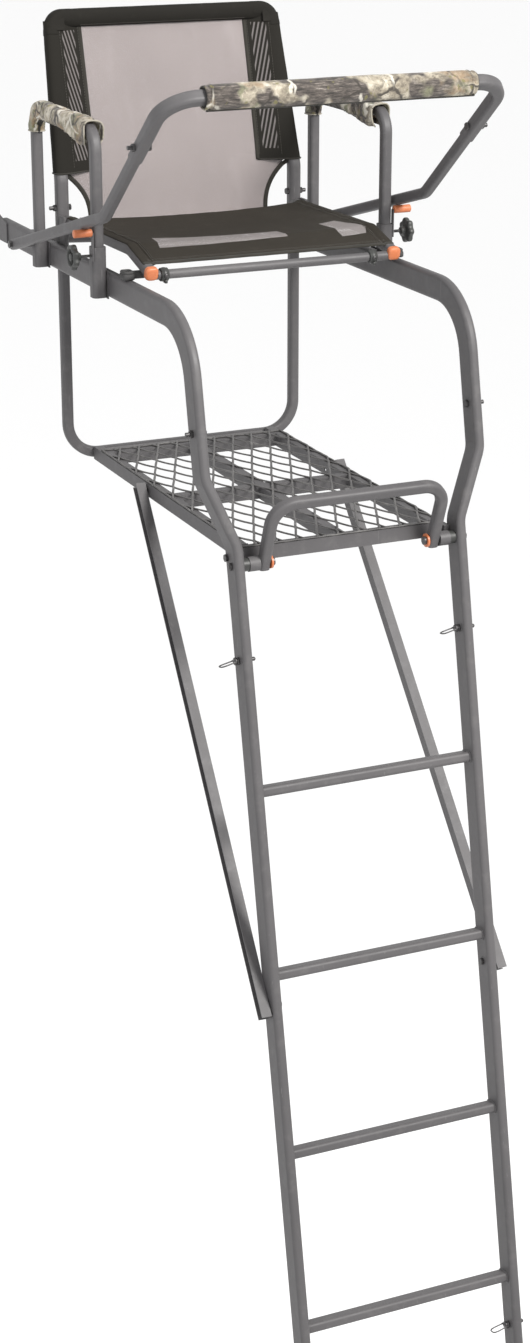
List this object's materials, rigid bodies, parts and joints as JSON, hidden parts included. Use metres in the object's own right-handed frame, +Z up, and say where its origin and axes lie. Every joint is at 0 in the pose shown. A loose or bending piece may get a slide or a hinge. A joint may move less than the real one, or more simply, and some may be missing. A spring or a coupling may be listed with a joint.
{
  "type": "ladder tree stand",
  "caption": "Leaning ladder stand with a grate platform, footrest, mesh seat and backrest, padded armrests and a padded shooting rail that lifts.",
  "frame": {"origin": "on the ground, midway between the two feet, in the middle plane of the ladder rails", "axes": "+X left to right as seen from in front of the ladder, +Y towards the tree, +Z up"},
  "size_m": [0.73, 2.0895, 5.3128],
  "materials": {
    "grey_powder_coat": "matt powder coat",
    "black_steel": "black oxide",
    "black_rubber": "moulded rubber",
    "black_plastic": "moulded nylon",
    "orange_plastic": "moulded plastic",
    "camo_fabric": "printed polyester over foam",
    "seat_mesh": "woven sling mesh",
    "back_mesh": "open see-through mesh",
    "zinc_fasteners": "dark zinc"
  },
  "bodies": {
    "stand": {"armrest_front_sockets": "grey_powder_coat", "armrest_rear_sockets": "grey_powder_coat", "back_bolts": "zinc_fasteners", "back_frame": "grey_powder_coat", "back_sling": "back_mesh", "footrest_bolts": "zinc_fasteners", "footrest_inner_washers": "orange_plastic", "footrest_outer_washers": "black_plastic", "footrest_spacers": "grey_powder_coat", "frame_bolts": "zinc_fasteners", "ladder_1_rails": "grey_powder_coat", "ladder_1_rungs": "grey_powder_coat", "ladder_2_rails": "grey_powder_coat", "ladder_2_rungs": "grey_powder_coat", "ladder_3_rails": "grey_powder_coat", "ladder_3_rungs": "grey_powder_coat", "ladder_feet": "black_rubber", "platform_cross_beams": "grey_powder_coat", "platform_grate": "grey_powder_coat", "platform_lugs": "grey_powder_coat", "platform_side_beams": "grey_powder_coat", "rest_pegs": "orange_plastic", "seat_pivots": "grey_powder_coat", "seat_rail_left": "grey_powder_coat", "seat_rail_right": "grey_powder_coat", "seat_rests": "black_rubber", "shooting_pivots": "zinc_fasteners", "support_brace_left": "grey_powder_coat", "support_brace_right": "grey_powder_coat", "tree_blades": "grey_powder_coat", "tree_brace": "grey_powder_coat", "u_brace": "grey_powder_coat", "upright_left": "grey_powder_coat", "upright_right": "grey_powder_coat"},
    "shooting_rail": {"shooting_arm_left": "grey_powder_coat", "shooting_arm_right": "grey_powder_coat", "shooting_front": "grey_powder_coat", "shooting_sleeve": "camo_fabric", "shooting_bolts": "zinc_fasteners"},
    "seat": {"seat_tube_left": "grey_powder_coat", "seat_tube_right": "grey_powder_coat", "seat_end_caps": "orange_plastic", "seat_crossbar": "grey_powder_coat", "seat_clamps": "black_plastic", "seat_rear_bar": "grey_powder_coat", "seat_sling": "seat_mesh"},
    "footrest": {"footrest": "grey_powder_coat"},
    "armrest_left": {"armrest_left": "grey_powder_coat", "armrest_pad_left": "camo_fabric"},
    "armrest_right": {"armrest_right": "grey_powder_coat", "armrest_pad_right": "camo_fabric"},
    "knob_left": {"clamp_knob_left": "black_plastic"},
    "knob_right": {"clamp_knob_right": "black_plastic"},
    "snap_pin_1_left": {"snap_pin_1_left": "black_steel"},
    "snap_pin_1_right": {"snap_pin_1_right": "black_steel"},
    "snap_pin_2_left": {"snap_pin_2_left": "black_steel"},
    "snap_pin_2_right": {"snap_pin_2_right": "black_steel"},
    "snap_pin_3_left": {"snap_pin_3_left": "black_steel"},
    "snap_pin_3_right": {"snap_pin_3_right": "black_steel"}
  },
  "joints": [
    {"name": "shooting_rail_lift", "type": "hinge", "parent": "stand", "child": "shooting_rail", "pos_m": [0, 1.81078, 4.8488], "axis": [-1, 0, 0], "range_deg": [0, 70]},
    {"name": "seat_flip", "type": "hinge", "parent": "stand", "child": "seat", "pos_m": [0, 1.70878, 4.9048], "axis": [-1, 0, 0], "range_deg": [0, 80]},
    {"name": "footrest_fold", "type": "hinge", "parent": "stand", "child": "footrest", "pos_m": [0, 0.91278, 4.3998], "axis": [1, 0, 0], "range_deg": [0, 110]},
    {"name": "armrest_lift_left", "type": "slide", "parent": "stand", "child": "armrest_left", "axis": [0, 0, 1], "range_m": [0, 0.04]},
    {"name": "armrest_lift_right", "type": "slide", "parent": "stand", "child": "armrest_right", "axis": [0, 0, 1], "range_m": [0, 0.04]},
    {"name": "knob_turn_left", "type": "hinge", "parent": "stand", "child": "knob_left", "pos_m": [-0.35, 1.40178, 4.8938], "axis": [1, 0, 0], "continuous": true},
    {"name": "knob_turn_right", "type": "hinge", "parent": "stand", "child": "knob_right", "pos_m": [0.35, 1.40178, 4.8938], "axis": [1, 0, 0], "continuous": true},
    {"name": "pin_pull_1_left", "type": "slide", "parent": "stand", "child": "snap_pin_1_left", "axis": [-1, 0, 0], "range_m": [0, 0.04]},
    {"name": "pin_pull_1_right", "type": "slide", "parent": "stand", "child": "snap_pin_1_right", "axis": [-1, 0, 0], "range_m": [0, 0.04]},
    {"name": "pin_pull_2_left", "type": "slide", "parent": "stand", "child": "snap_pin_2_left", "axis": [-1, 0, 0], "range_m": [0, 0.04]},
    {"name": "pin_pull_2_right", "type": "slide", "parent": "stand", "child": "snap_pin_2_right", "axis": [-1, 0, 0], "range_m": [0, 0.04]},
    {"name": "pin_pull_3_left", "type": "slide", "parent": "stand", "child": "snap_pin_3_left", "axis": [-1, 0, 0], "range_m": [0, 0.04]},
    {"name": "pin_pull_3_right", "type": "slide", "parent": "stand", "child": "snap_pin_3_right", "axis": [-1, 0, 0], "range_m": [0, 0.04]}
  ]
}
